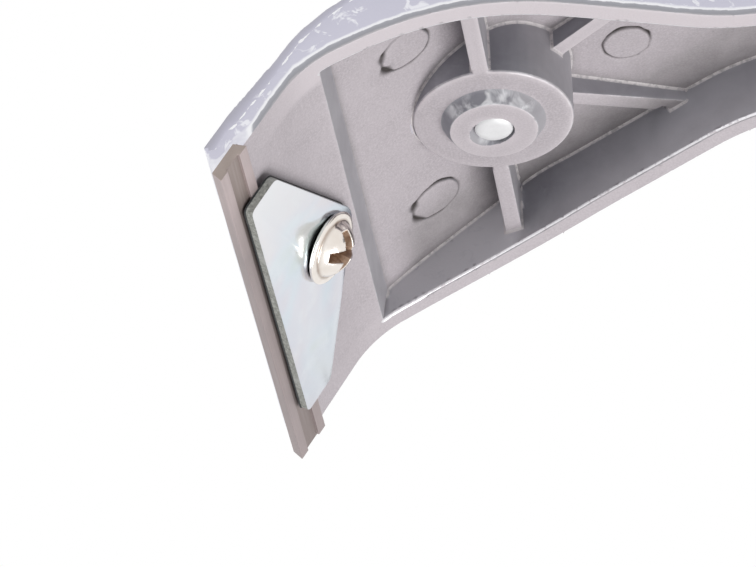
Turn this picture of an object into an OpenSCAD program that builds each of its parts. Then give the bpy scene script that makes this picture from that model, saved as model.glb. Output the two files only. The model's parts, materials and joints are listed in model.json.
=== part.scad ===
// Double-edged scraper: a hollow cast body with a clamped reversible blade, a knob and a soft grip.
// X runs from the blade to the tail, Y across, Z up. The tool stands on its cutting edge and its tail.

/* [Blade] */
// Length of the blade along its cutting edges
blade_length = 64; // [50:0.5:90]
// Width of the blade from edge to edge
blade_width = 5.9; // [5:0.1:9]
// Thickness of the blade
blade_thick = 1.7; // [1.2:0.1:2.5]
// Undercut of each cutting edge over the thickness
blade_undercut = 0.5; // [0.2:0.1:0.9]
// Width of the flat land beside each cutting edge
blade_land = 1.6; // [1:0.1:2]
// Depth of the groove along the middle of the blade
blade_groove = 0.3; // [0.1:0.05:0.6]

/* [Nose] */
// Lean of the blade seat against the horizontal
seat_tilt = 57; // [50:0.5:64]
// Distance of the cutting edge before the knob axis
edge_ahead = 30.8; // [28:0.2:38]
// Depth of the cutting edge under the boss face
edge_below = 28.4; // [26:0.2:34]
// How far the blade stands proud of the clamping pad
blade_proud = 0.85; // [0.5:0.05:1]
// Thickness of the nose between pad and back
nose_thick = 4.15; // [3.6:0.05:5.5]
// Set-back of the nose front under the blade
nose_lip = 0.7; // [0.5:0.1:1.2]
// Further set-back of the nose front at the back of the casting
nose_rake = 2.9; // [1.5:0.1:3.5]
// Clearance behind the blade in its channel
channel_clear = 0.1; // [0.05:0.05:0.3]
// Width of the casting at the nose
nose_width = 63; // [54:0.5:80]

/* [Clamp plate] */
// Length of the plate along the blade
plate_front = 45.6; // [36:0.2:52]
// Distance of the plate front behind the cutting edge
plate_setback = 2.3; // [1.8:0.1:3]
// Length of the short sides of the plate
plate_side = 5.8; // [4:0.1:8]
// Distance from the plate front to its unrounded rear tip
plate_reach = 18.3; // [16:0.1:20]
// Thickness of the plate
plate_thick = 1.2; // [0.8:0.1:2]
// Rounding of the rear tip
plate_tip_r = 4; // [2:0.5:6]
// Clearance of the rear tip over the pad
plate_tip_clear = 0.05; // [0.02:0.01:0.2]
// Radial clearance of the screw in the plate
plate_hole_clear = 0.25; // [0.15:0.05:0.5]

/* [Clamp screw] */
// Distance of the screw behind the plate front
screw_back = 11.8; // [10.5:0.1:12.5]
// Thread diameter of the screw
screw_d = 5; // [4:0.5:6]
// Diameter of the washer face under the head
flange_d = 10; // [9:0.2:12]
// Thickness of the washer face
flange_h = 0.8; // [0.5:0.1:1.2]
// Diameter of the domed head
head_d = 8.6; // [7.5:0.1:8.8]
// Height of the domed head over the washer face
head_h = 2.5; // [1.8:0.1:3]
// Length of the threaded shank under the head
shank_length = 8; // [7:0.5:9]
// Width of one slot of the cross recess
recess_width = 1.1; // [0.8:0.1:1.6]
// Span of the cross recess
recess_span = 5; // [4:0.2:6]
// Depth of the cross recess
recess_depth = 1.7; // [1:0.1:2]
// Turn of the cross recess against the middle line
recess_turn = 38; // [0:1:89]
// Height of the thread boss on the back of the nose
thread_boss_h = 3; // [2:0.5:4]
// Diameter of the thread boss
thread_boss_d = 11; // [9:0.5:13]
// Radial clearance of a screw or stud in its thread
thread_clear = 0.03; // [0.02:0.01:0.08]

/* [Head] */
// Distance along the pad where the underside starts to bend
bend_start = 15.4; // [14.4:0.1:16.6]
// Bend radius of the rim behind the nose
bend_r = 17; // [15:0.5:19]
// Lean of the rim where the nose bend ends
neck_tilt = 26.4; // [24:0.2:29]
// Straight run of the rim between its two bends
neck_run = 1.5; // [0.5:0.1:2.5]
// Curve radius of the rim under the boss
neck_r = 94; // [86:1:104]
// Lean of the rim where the handle begins
handle_tilt = 8; // [6.4:0.2:9.6]
// Bend radius of the back behind the nose
back_bend_r = 18; // [15:0.5:21]
// Lean of the back at the front wall of the hollow
hollow_tilt = 41; // [38:0.5:44]
// Curve radius of the back over the front floor
back_front_r = 89; // [80:1:98]
// Lean of the back before the boss
back_tilt = 25.5; // [23:0.5:28]
// Bend radius of the back over the boss
back_r = 19; // [15:0.5:24]
// Straight run of the back from the boss to the handle
back_run = 25; // [20:0.5:32]
// Distance along the nose back where its bend starts
back_start = 21.8; // [20:0.1:23.5]

/* [Hollow] */
// Thickness of the web between floor and back
web = 2.6; // [2:0.1:3.2]
// Thickness of the side walls
wall = 2.8; // [2.2:0.1:3.4]
// Thickness of the two cross ribs
cross_rib = 2.2; // [1.6:0.1:3]
// Distance of the cross ribs behind the knob axis, ahead counted negative
cross_rib_x = -0.4; // [-1:0.1:1]
// Thickness of the two slanting ribs
slant_rib = 2.2; // [1.6:0.1:2.8]
// Height of the slanting rib faces over the boss face, at the knob axis
slant_face_z = 4.2; // [3.4:0.1:4.8]
// Lean of the slanting rib faces
slant_face_tilt = 12; // [9:0.5:14]
// Distance behind the knob axis where the slanting ribs would meet
slant_meet = 0.8; // [0:0.1:1.6]
// Draft of the front wall of the hollow
front_draft = 8; // [3:0.5:12]
// Angle of the slanting ribs against the middle line
slant_angle = 31; // [26:0.5:36]

/* [Outline] */
// Taper of the head sides from the nose
side_taper = 3.4; // [2:0.1:5]
// Distance behind the knob axis where the shoulders start, ahead counted negative
shoulder_x = -14; // [-17:0.5:-11]
// Plan radius of the shoulders
shoulder_r = 60; // [54:0.5:66]
// Plan angle of the flanks behind the shoulders
flank_angle = 27.5; // [25:0.5:29]
// Width of the neck
neck_width = 23; // [20:0.5:25]
// Plan radius between flank and neck
neck_fillet = 26; // [20:0.5:32]

/* [Boss] */
// Diameter of the boss face
boss_d = 21; // [19:0.2:23]
// Base diameter of the disc on the boss
disc_d = 13.7; // [12.5:0.1:15]
// Face diameter of the disc
disc_face_d = 11.5; // [10:0.1:12]
// Height of the disc
disc_h = 1.7; // [1.2:0.1:2.2]
// Countersink diameter around the stud end
stud_sink_d = 6.8; // [6:0.1:8]
// Countersink depth
stud_sink_h = 0.8; // [0.5:0.1:1.1]
// Height of the knob seat over the boss face
seat_above = 13; // [12.6:0.1:15]

/* [Handle] */
// Arch radius of the handle under its rim
arch_r = 235; // [225:1:245]
// Thickness of the wall closing the hollow before the grip
neck_end = 8; // [5:0.5:12]
// Width of the tang inside the grip
tang_width = 17; // [14:0.5:18]
// Set-back of the tang top and bottom from the neck
tang_set = 1.5; // [1:0.1:2]

/* [Grip] */
// Width of the grip
grip_width = 28; // [25:0.5:32]
// Height of the grip over the neck top and under the rim
grip_over = 5; // [4:0.2:6]
// Corner radius of the grip section
grip_corner = 8; // [5:0.5:9]
// Length of the solid grip tail behind the tang
grip_tail = 18; // [15:0.5:22]
// Diameter of the hanging hole
hang_d = 8; // [5:0.5:9]
// Distance of the hanging hole from the tail end
hang_back = 9; // [8:0.5:10]

/* [Knob] */
// Outer diameter of the washer under the knob
washer_d = 20; // [16:0.5:20.5]
// Thickness of the washer
washer_h = 1.2; // [0.8:0.1:2]
// Base diameter of the knob
knob_base_d = 22; // [18:0.5:25]
// Height of the straight base rim of the knob
knob_base_h = 3; // [2:0.2:5]
// Waist diameter of the knob
knob_waist_d = 17; // [14:0.5:20]
// Ball diameter of the knob
knob_d = 36; // [31:0.5:42]
// Height of the knob
knob_h = 36; // [33:0.5:38]
// Height of the ball centre over the knob base
knob_ball_z = 21.5; // [20:0.5:23]
// Diameter of the stud
stud_d = 5; // [4:0.5:6]
// Depth of the stud in the knob
stud_depth = 18; // [12:0.5:22]
// Set-back of the stud end from the disc face
stud_setback = 0.25; // [0.1:0.05:0.6]

/* [Hidden] */
$fn = 64;
steps = 10;
big = 400;
// Direction along a line of lean t and the direction out of its underside
function along(t) = [cos(t), sin(t)];
function under(t) = [sin(t), -cos(t)];
// Points in the side view, each pair X and Z with the boss face centre as zero
edge_pt = [-edge_ahead, -edge_below];
function seat_pt(u, n) = edge_pt + u * along(seat_tilt) + n * under(seat_tilt);
// A point of an arch that starts at p with lean t0, and the whole arch up to lean t1
function arch_pt(p, r, t0, t) = p + r * [sin(t0) - sin(t), cos(t) - cos(t0)];
function arch(p, r, t0, t1) = [for (i = [0:steps]) arch_pt(p, r, t0, t0 + (t1 - t0) * i / steps)];
// The same points from the last to the first, without the given number of last points
function backwards(list, skip = 0) = [for (i = [skip:len(list) - 1]) list[len(list) - 1 - i]];
pad_n = -blade_proud;
back_n = -blade_proud - nose_thick;
channel_u = blade_width + channel_clear;
// Rim line of the underside
rim_a = seat_pt(bend_start, pad_n);
rim_b = arch_pt(rim_a, bend_r, seat_tilt, neck_tilt) + neck_run * along(neck_tilt);
rim_c = arch_pt(rim_b, neck_r, neck_tilt, handle_tilt);
// Back line
back_a = seat_pt(back_start, back_n);
back_b = arch_pt(back_a, back_bend_r, seat_tilt, hollow_tilt);
back_c = arch_pt(back_b, back_front_r, hollow_tilt, back_tilt);
back_d = arch_pt(back_c, back_r, back_tilt, handle_tilt);
floor_b = back_b + web * under(hollow_tilt);
floor_c = back_c + web * under(back_tilt);
back_e = back_d + back_run * along(handle_tilt);
floor_d = back_d + web * under(handle_tilt);
floor_e = back_e + web * under(handle_tilt);
// The handle arch starts square under the end of the back line
rim_run = (floor_e - rim_c) * along(handle_tilt);
rim_d = rim_c + rim_run * along(handle_tilt);
hollow_depth = (rim_d - floor_e) * under(handle_tilt);
arch_centre = rim_d + arch_r * under(handle_tilt);
floor_r = arch_r + hollow_depth;
back_arch_r = floor_r + web;
neck_end_x = arch_centre[0];
// The grip runs back until its underside stands on the floor
grip_in_r = arch_r - grip_over;
grip_out_r = back_arch_r + grip_over;
tail_angle = acos((edge_pt[1] - arch_centre[1]) / grip_in_r);
tang_angle = tail_angle - grip_tail / floor_r * 180 / PI;
hang_angle = tail_angle - hang_back / floor_r * 180 / PI;
mid_r = (grip_in_r + grip_out_r) / 2;
// Clamp plate leaning from the blade's rear edge to the pad, whose bend carries its rear tip
plate_half = plate_front / 2;
plate_flank = atan((plate_reach - plate_side) / plate_half);
plate_tip_u = plate_setback + plate_reach - plate_tip_r / cos(plate_flank);
tip_end_u = plate_tip_u + plate_tip_r;
tip_run = max(tip_end_u - bend_start, 0);
tip_rise = bend_r - sqrt(bend_r * bend_r - tip_run * tip_run);
plate_lean = asin((blade_proud - tip_rise - plate_tip_clear) / (tip_end_u - blade_width));
screw_u = plate_setback + screw_back;
// The shift that puts the floor at zero and the middle of the length over the origin
nose_front = min(seat_pt(nose_lip + nose_rake, back_n)[0], edge_pt[0]);
tail_end = arch_centre[0] + grip_out_r * sin(tail_angle);
shift = [-(nose_front + tail_end) / 2, 0, edge_below];
knob_z = seat_above + washer_h;

// Places the side view of the object in the frame
module placed() {
    translate(shift) children();
}

// A side view drawn in X and Z, drawn out evenly to both sides
module across(width) {
    rotate([90, 0, 0]) linear_extrude(height = width, center = true) children();
}

// The seat frame with its X back along the seat, its Z out of the visible blade face
module on_seat() {
    translate([edge_pt[0], 0, edge_pt[1]])
        rotate([0, -seat_tilt, 0])
            mirror([0, 0, 1]) children();
}

// The clamp frame: the seat frame turned about the blade's rear edge by the lean of the plate
module on_plate() {
    on_seat()
        translate([blade_width, 0, 0])
            rotate([0, plate_lean, 0])
                translate([-blade_width, 0, 0]) children();
}

// A solid of revolution about the centre of the handle arch between two angles behind its crown
module swept(a0, a1) {
    translate([arch_centre[0], 0, arch_centre[1]])
        rotate([90, 0, 0])
            rotate([0, 0, 90 - a1])
                rotate_extrude(angle = a1 - a0, $fn = 180) children();
}

// Plan outline of head and neck
side_drop = tan(side_taper);
shoulder_y = nose_width / 2 - (shoulder_x - nose_front) * side_drop;
shoulder_c = [shoulder_x - shoulder_r * sin(side_taper), shoulder_y - shoulder_r * cos(side_taper)];
flank_pt = shoulder_c + shoulder_r * [sin(flank_angle), cos(flank_angle)];
fillet_drop = neck_fillet * (1 - cos(flank_angle));
flank_run = (flank_pt[1] - neck_width / 2 - fillet_drop) / tan(flank_angle);
fillet_x = flank_pt[0] + flank_run + neck_fillet * sin(flank_angle);
fillet_c = [fillet_x, neck_width / 2 + neck_fillet];
// Half of the outline, drawn inwards by the inset
function outline_half(inset, x0, x1) = concat(
    [[x0, shoulder_y + (shoulder_x - x0) * side_drop - inset / cos(side_taper)]],
    [for (i = [0:steps]) let (a = side_taper + (flank_angle - side_taper) * i / steps)
        shoulder_c + (shoulder_r - inset) * [sin(a), cos(a)]],
    [for (i = [0:steps]) let (a = flank_angle * (1 - i / steps))
        fillet_c - (neck_fillet + inset) * [sin(a), cos(a)]],
    [[x1, neck_width / 2 - inset]]);

// The whole outline, drawn out far up and down
module outline(inset, x0, x1) {
    half = outline_half(inset, x0, x1);
    n = len(half);
    linear_extrude(height = big, center = true)
        polygon(concat(half, [for (i = [0:n - 1]) [half[n - 1 - i][0], -half[n - 1 - i][1]]]));
}

// Side view of the solid head and neck between back and rim
module side_view() {
    polygon(concat(
        [seat_pt(nose_lip - (blade_thick - blade_proud) * nose_rake / nose_thick, pad_n)],
        arch(rim_a, bend_r, seat_tilt, neck_tilt),
        arch(rim_b, neck_r, neck_tilt, handle_tilt),
        arch(rim_d, arch_r, handle_tilt, 0),
        backwards(arch(back_e, back_arch_r, handle_tilt, 0)),
        backwards(arch(back_c, back_r, back_tilt, handle_tilt)),
        backwards(arch(back_b, back_front_r, hollow_tilt, back_tilt), 1),
        backwards(arch(back_a, back_bend_r, seat_tilt, hollow_tilt), 1),
        [seat_pt(nose_lip + nose_rake, back_n)]));
}

// Side view of everything under the floor of the hollow
module under_floor() {
    polygon(concat(
        [[floor_b[0] - big / 4 * tan(front_draft), floor_b[1] - big / 4]],
        arch(floor_b, back_front_r - web, hollow_tilt, back_tilt),
        arch(floor_c, back_r - web, back_tilt, handle_tilt),
        arch(floor_e, floor_r, handle_tilt, 0),
        [[neck_end_x, floor_b[1] - big / 4]]));
}

// The hollow of the underside
module hollow() {
    intersection() {
        across(big) under_floor();
        outline(wall, nose_front, neck_end_x - neck_end);
    }
}

// Cross ribs and slanting ribs around the boss
module ribs() {
    reach = neck_width * 1.5;
    drop = reach * tan(slant_face_tilt);
    intersection() {
        hollow();
        union() {
            translate([cross_rib_x - cross_rib / 2, -big / 4, 0]) cube([cross_rib, big / 2, big / 4]);
            intersection() {
                for (side = [-1, 1])
                    translate([slant_meet, 0, -big / 8])
                        rotate([0, 0, side * slant_angle])
                            translate([0, -slant_rib / 2, 0]) cube([reach, slant_rib, big / 4]);
                across(big) polygon(
                    [[0, slant_face_z], [reach, slant_face_z + drop], [reach, big / 4], [0, big / 4]]);
            }
        }
    }
}

// Head, neck and tang in one casting
module body_casting() {
    color([0.76, 0.75, 0.77]) placed() difference() {
        union() {
            difference() {
                intersection() {
                    across(big) side_view();
                    outline(0, nose_front - blade_width, neck_end_x);
                }
                hollow();
            }
            ribs();
            cylinder(d = boss_d, h = seat_above);
            translate([0, 0, -disc_h]) cylinder(d1 = disc_face_d, d2 = disc_d, h = disc_h);
            on_plate() translate([screw_u, 0, back_n - thread_boss_h])
                cylinder(d = thread_boss_d, h = thread_boss_h + nose_thick / 2);
            swept(-1, tang_angle) translate([arch_r + tang_set, -tang_width / 2])
                square([back_arch_r - arch_r - 2 * tang_set, tang_width]);
        }
        on_seat() translate([-big / 8, -big / 4, -blade_thick])
            cube([channel_u + big / 8, big / 2, big / 8]);
        on_plate() translate([screw_u, 0, plate_thick - shank_length - 0.5])
            cylinder(d = screw_d + 2 * thread_clear, h = shank_length + 2);
        translate([0, 0, -disc_h - 1])
            cylinder(d = stud_d + 2 * thread_clear, h = seat_above + disc_h + 2);
        translate([0, 0, -disc_h - 0.01])
            cylinder(d1 = stud_sink_d, d2 = stud_d + 2 * thread_clear, h = stud_sink_h);
    }
}

// Grooved bar with a cutting edge along both sides
module blade() {
    back_face = [[blade_undercut, -blade_thick], [blade_width - blade_undercut, -blade_thick]];
    color([0.62, 0.58, 0.57]) placed() on_seat() across(blade_length) difference() {
        polygon(concat([[0, 0]], back_face, [[blade_width, 0]]));
        translate([blade_land, -blade_groove]) square([blade_width - 2 * blade_land, blade_groove + 1]);
    }
}

// Five-sided plate that presses the blade into its seat
module clamp_plate() {
    tip_c = [plate_tip_u, 0];
    turns = [for (i = [0:steps]) plate_flank * (1 - 2 * i / steps)];
    color([0.80, 0.85, 0.88]) placed() on_plate() difference() {
        linear_extrude(height = plate_thick) polygon(concat(
            [[plate_setback + plate_side, -plate_half], [plate_setback, -plate_half]],
            [[plate_setback, plate_half], [plate_setback + plate_side, plate_half]],
            [for (a = turns) tip_c + plate_tip_r * [cos(a), sin(a)]]));
        translate([screw_u, 0, -1]) cylinder(d = screw_d + 2 * plate_hole_clear, h = plate_thick + 2);
    }
}

// Washer-faced screw with a domed head and a cross recess
module clamp_screw() {
    ball_r = (head_d * head_d / 4 + head_h * head_h) / (2 * head_h);
    color([0.85, 0.80, 0.74]) placed() on_plate() translate([screw_u, 0, plate_thick]) difference() {
        union() {
            cylinder(d = flange_d, h = flange_h);
            translate([0, 0, flange_h]) intersection() {
                translate([0, 0, head_h - ball_r]) sphere(r = ball_r);
                cylinder(d = head_d, h = head_h + 1);
            }
            translate([0, 0, -shank_length]) cylinder(d = screw_d, h = shank_length);
        }
        translate([0, 0, flange_h + head_h - recess_depth]) {
            for (a = [recess_turn, recess_turn + 90])
                rotate([0, 0, a]) translate([-recess_span / 2, -recess_width / 2, 0])
                    cube([recess_span, recess_width, 2 * recess_depth]);
            cylinder(d1 = recess_width, d2 = recess_width * 2.2, h = recess_depth);
        }
    }
}

// Turned ball knob with a waist, bored for the stud
module knob() {
    color([0.10, 0.10, 0.11]) placed() translate([0, 0, knob_z]) difference() {
        rotate_extrude() intersection() {
            union() {
                square([knob_base_d / 2, knob_base_h]);
                polygon([[0, knob_base_h], [knob_base_d / 2, knob_base_h],
                    [knob_waist_d / 2, knob_base_h + 3], [knob_waist_d / 2, knob_ball_z],
                    [0, knob_ball_z]]);
                translate([0, knob_ball_z]) circle(d = knob_d);
            }
            square([knob_d, knob_h]);
        }
        translate([0, 0, -1]) cylinder(d = stud_d + 2 * thread_clear, h = stud_depth + 1);
    }
}

// Threaded stud from the knob through the boss
module knob_stud() {
    color([0.90, 0.90, 0.88]) placed() translate([0, 0, -disc_h + stud_setback])
        cylinder(d = stud_d, h = knob_z + stud_depth + disc_h - stud_setback);
}

// Flat washer under the knob
module knob_washer() {
    color([0.80, 0.82, 0.84]) placed() translate([0, 0, seat_above]) difference() {
        cylinder(d = washer_d, h = washer_h);
        translate([0, 0, -1]) cylinder(d = stud_d + 2 * plate_hole_clear, h = washer_h + 2);
    }
}

// Section of the grip, drawn from the arch centre outwards
module grip_section() {
    height = grip_out_r - grip_in_r;
    translate([mid_r, 0]) {
        square([height - 2 * grip_corner, grip_width], center = true);
        square([height, grip_width - 2 * grip_corner], center = true);
        for (i = [-1, 1], j = [-1, 1])
            translate([i * (height / 2 - grip_corner), j * (grip_width / 2 - grip_corner)])
                circle(r = grip_corner);
    }
}

// Soft sleeve pushed on the tang up to the end of the neck
module grip_sleeve() {
    color([0.13, 0.13, 0.14]) placed() difference() {
        swept(0, tail_angle) grip_section();
        swept(-1, tang_angle) translate([arch_r + tang_set, -tang_width / 2])
            square([back_arch_r - arch_r - 2 * tang_set, tang_width]);
        translate([arch_centre[0] + mid_r * sin(hang_angle), 0, arch_centre[1] + mid_r * cos(hang_angle)])
            rotate([90, 0, 0]) cylinder(d = hang_d, h = grip_width * 2, center = true);
    }
}

body_casting();
blade();
clamp_plate();
clamp_screw();
knob();
knob_stud();
knob_washer();
grip_sleeve();
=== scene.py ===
"""Double-edged scraper from below: cast head, reversible blade, clamp plate, screw, knob and soft grip."""

import json
import math
from contextlib import contextmanager

import bmesh
import bpy
import numpy as np
from mathutils import Matrix, Vector, noise
from mathutils.bvhtree import BVHTree


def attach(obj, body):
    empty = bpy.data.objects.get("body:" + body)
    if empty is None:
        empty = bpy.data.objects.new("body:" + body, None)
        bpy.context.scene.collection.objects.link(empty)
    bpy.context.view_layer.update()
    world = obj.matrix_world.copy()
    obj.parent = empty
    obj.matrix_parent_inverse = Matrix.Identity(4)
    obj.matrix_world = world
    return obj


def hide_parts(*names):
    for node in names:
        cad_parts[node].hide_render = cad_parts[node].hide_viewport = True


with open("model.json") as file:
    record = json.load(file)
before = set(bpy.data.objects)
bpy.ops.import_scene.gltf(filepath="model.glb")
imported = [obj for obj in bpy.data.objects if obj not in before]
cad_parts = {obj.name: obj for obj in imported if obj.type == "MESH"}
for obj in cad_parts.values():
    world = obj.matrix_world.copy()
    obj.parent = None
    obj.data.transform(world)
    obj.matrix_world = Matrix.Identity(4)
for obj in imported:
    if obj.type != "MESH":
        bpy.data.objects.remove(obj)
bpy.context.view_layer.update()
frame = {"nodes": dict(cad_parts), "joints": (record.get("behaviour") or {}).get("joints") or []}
MM = 0.001
scene = bpy.context.scene

# Places taken from the part's sizes, in metres
BOSS = Vector((-76.8871, 0, 28.4)) * MM
KNOB_SEAT_Z = 41.4 * MM
KNOB_BASE_Z = 42.6 * MM
NECK_END_X = -12.0202 * MM
ARCH_CENTRE = Vector((-12.0202, 0, -201.207)) * MM
GRIP_IN_R = 230.0 * MM
GRIP_OUT_R = 251.701 * MM
TAIL_ANGLE = math.radians(28.9773)
HANG_HOLE = Vector((96.817, 0, 13.65)) * MM
# The blade's seat: its direction from the cutting edge to the rear, the one out of it, and its rear edge
SEAT_BACK = Vector((0.54464, 0, 0.83867))
SEAT_OUT = Vector((0.83867, 0, -0.54464))
CUTTING_EDGE = Vector((-107.69, 0, 0)) * MM
BLADE_WIDTH = 5.9 * MM
SEAT_REAR = CUTTING_EDGE + BLADE_WIDTH * SEAT_BACK
# Places along the casting
NOSE_X = -107.0 * MM
SEAT_END_X = -104.5 * MM
PAD_END_X = -98.0 * MM
HOLLOW_X = -89.0 * MM


class Value:
    """A shader socket that takes part in Python expressions."""

    def __init__(self, finish, socket):
        self.finish = finish
        self.socket = socket

    def maths(self, operation, *terms):
        return self.finish.node("ShaderNodeMath", {"operation": operation}, dict(enumerate(terms)))

    def __add__(self, other):
        return self.maths("ADD", self, other)

    def __radd__(self, other):
        return self.maths("ADD", other, self)

    def __sub__(self, other):
        return self.maths("SUBTRACT", self, other)

    def __rsub__(self, other):
        return self.maths("SUBTRACT", other, self)

    def __mul__(self, other):
        return self.maths("MULTIPLY", self, other)

    def __rmul__(self, other):
        return self.maths("MULTIPLY", other, self)

    def __abs__(self):
        return self.maths("ABSOLUTE", self)

    def or_more(self, other):
        return self.maths("MAXIMUM", self, other)


class Finish:
    """The node tree of a material or of the world, whose nodes all come from one method."""

    def __init__(self, owner):
        owner.use_nodes = True
        self.owner = owner
        self.tree = owner.node_tree
        self.tree.nodes.clear()

    def node(self, kind, settings=None, values=None, out=0):
        """A node with its settings made first, then its sockets filled or linked."""
        made = self.tree.nodes.new(kind)
        for name, setting in (settings or {}).items():
            if name == "stops":
                self.set_stops(made.color_ramp, setting)
            else:
                setattr(made, name, setting)
        for name, value in (values or {}).items():
            if isinstance(value, Value):
                self.tree.links.new(value.socket, made.inputs[name])
            else:
                made.inputs[name].default_value = value
        return Value(self, made.outputs[out] if made.outputs else None)

    def set_stops(self, ramp, stops):
        while len(ramp.elements) < len(stops):
            ramp.elements.new(0.5)
        for element, (place, colour) in zip(ramp.elements, stops):
            element.position = place
            element.color = (*colour, 1)

    def place(self):
        return self.node("ShaderNodeTexCoord", out="Object")

    def across(self, place):
        """How far a place lies from the scraper's middle line."""
        return self.node("ShaderNodeSeparateXYZ", values={"Vector": place}, out="Y")

    def stretched(self, place, scale):
        return self.node("ShaderNodeMapping", values={"Vector": place, "Scale": scale})

    def noise(self, place, scale, detail=3.0, rough=0.55, twist=0.0):
        return self.node("ShaderNodeTexNoise", values={
            "Vector": place, "Scale": scale, "Detail": detail, "Roughness": rough, "Distortion": twist})

    def ramp(self, factor, stops):
        return self.node("ShaderNodeValToRGB", {"stops": stops}, {"Fac": factor})

    def attribute(self, name):
        return self.node("ShaderNodeAttribute", {"attribute_name": name}, out="Fac")

    def blend(self, factor, first, second):
        return self.node("ShaderNodeMix", {"data_type": "RGBA"}, {0: factor, 6: first, 7: second}, out=2)

    def span(self, value, low, high, to_low=0.0, to_high=1.0):
        return self.node("ShaderNodeMapRange", {"clamp": True}, {
            0: value, 1: low, 2: high, 3: to_low, 4: to_high})

    def full(self, pattern):
        """A noise stretched to the range from 0 to 1."""
        return self.span(pattern, 0.3, 0.7)

    def two_tones(self, pattern, first, second):
        return self.blend(self.full(pattern), first, second)

    def layered(self, tone, *layers):
        """A tone with others laid over it, each as far as its factor says."""
        for factor, other in layers:
            tone = self.blend(factor, tone, other)
        return tone

    def bump(self, height, depth, strength):
        return self.node("ShaderNodeBump", values={
            "Height": height, "Distance": depth, "Strength": strength})

    def surface(self, colour, rough, others):
        """Ends the tree of a material, and gives the material."""
        values = {"Base Color": colour, "Roughness": rough, **others}
        shader = self.node("ShaderNodeBsdfPrincipled", values=values)
        self.node("ShaderNodeOutputMaterial", values={"Surface": shader})
        return self.owner


def new_finish(name):
    """A new finish, and the place on the object that its patterns follow."""
    f = Finish(bpy.data.materials.new(name))
    return f, f.place()


def rgb(red, green, blue):
    return (red, green, blue, 1.0)


# Finishes

# Tones of the casting's side from the rim up to the back, with painted shade on its rounds and a painted
# highlight line
SIDE_LIGHT_BANDS = [
    (0.0, (0.48, 0.46, 0.48)), (0.03, (0.36, 0.36, 0.39)), (0.105, (0.42, 0.42, 0.46)),
    (0.125, (0.97, 0.97, 0.99)), (0.15, (0.95, 0.95, 0.98)), (0.19, (0.65, 0.64, 0.74)),
    (0.70, (0.62, 0.61, 0.71)), (0.79, (0.53, 0.52, 0.61)), (1.0, (0.43, 0.42, 0.48))]
# Bands of the broken painted highlight line and of the painted light on the front beside the blade
HIGHLIGHT_BAND = 0.715
FRONT_LIGHT_BAND = 0.17
# Tints of the passivated zinc
ZINC_TINTS = [
    (0.25, (0.61, 0.69, 0.66)), (0.42, (0.65, 0.72, 0.78)), (0.52, (0.68, 0.69, 0.75)),
    (0.62, (0.71, 0.68, 0.71)), (0.75, (0.64, 0.71, 0.75))]


class CastNoise:
    """The noises that the tones of the casting share."""

    def __init__(self, f, place):
        self.grain = f.noise(place, 3600, 2.0)
        self.pores = f.noise(place, 1500, 3.0, 0.6)
        self.mottle = f.noise(place, 170, 4.0, 0.6, 0.4)
        self.runs = f.noise(place, 420, 3.0, 0.6, 0.6)


def flat_tones(f, cast):
    """Blasted flats: grained and pitted, with painted light on the rim and painted shade on one side and in
    corners.
    """
    return f.layered(
        f.two_tones(cast.mottle, rgb(0.50, 0.455, 0.478), rgb(0.575, 0.525, 0.55)),
        (f.span(cast.grain, 0.4, 0.75), rgb(0.64, 0.59, 0.617)),
        (f.span(cast.pores, 0.36, 0.2, 0, 0.5), rgb(0.28, 0.26, 0.27)),
        # Painted light on the rim and raised places, most on the side towards the side lamp
        (f.attribute("rim") * 0.8, rgb(0.735, 0.675, 0.70)),
        # Painted shade on the floor along one side of the hollow
        (f.attribute("grime") * f.span(cast.mottle, 0.3, 0.7, 0.62, 0.4), rgb(0.2, 0.19, 0.185)),
        # Painted shade in the corners
        (f.attribute("corner") * f.span(cast.runs, 0.25, 0.6, 0.62, 0.38), rgb(0.19, 0.18, 0.175)))


def wall_tones(f, cast):
    """Drawn walls of the hollow: painted light or shade, with paler runs, and painted glints on the disc.
    """
    light = f.two_tones(cast.mottle, rgb(0.40, 0.385, 0.41), rgb(0.50, 0.485, 0.51))
    dark = f.two_tones(cast.mottle, rgb(0.27, 0.268, 0.30), rgb(0.37, 0.37, 0.405))
    return f.layered(
        light, (f.attribute("shade"), dark), (f.attribute("lift"), rgb(0.68, 0.67, 0.70)),
        (f.span(cast.runs, 0.58, 0.75, 0, 0.4), rgb(0.45, 0.45, 0.49)),
        # Painted glints on the disc's wall
        (f.attribute("spark") * f.span(cast.runs, 0.45, 0.62), rgb(0.86, 0.86, 0.88)))


def edge_tones(f, cast, tone, edge):
    """Painted highlights on the fillets and the bright edges, and painted shade on the darker strips, over
    a tone.
    """
    return f.layered(
        tone, (f.attribute("fillet") * f.span(cast.pores, 0.36, 0.54, 0.35, 0.95), rgb(0.72, 0.68, 0.68)),
        (edge * f.span(cast.pores, 0.34, 0.48), rgb(0.80, 0.79, 0.81)),
        # Painted shade on the rim's lowest strip and behind the blade's rear edge
        (f.attribute("dull") * f.span(cast.runs, 0.35, 0.6, 0.85, 0.5), rgb(0.27, 0.265, 0.285)))


def side_tones(f, cast, place):
    """The smooth outer wall: bands of painted shade and highlight along it, a broken painted highlight line
    and painted highlight patches.
    """
    lumps = f.noise(place, 650, 2.0)
    band = f.attribute("band") + 0.06 * (cast.runs - 0.5) + 0.03 * (lumps - 0.5)
    highlight_width = f.span(lumps, 0.42, 0.66, 0.0, 0.055) * f.span(cast.runs, 0.36, 0.5, 0.3, 1.0)
    # Painted highlight: a broken bright line along the side
    highlight_line = f.span(highlight_width - abs(band - HIGHLIGHT_BAND), 0.0, 0.012)
    highlight_patch = f.span(cast.runs, 0.55, 0.62) * f.span(band, 0.16, 0.2) * f.span(band, 0.8, 0.7)
    return f.layered(f.ramp(band, SIDE_LIGHT_BANDS), (highlight_line, rgb(0.97, 0.97, 0.99)),
                     (highlight_patch * 0.8, rgb(0.95, 0.95, 0.99)))


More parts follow.
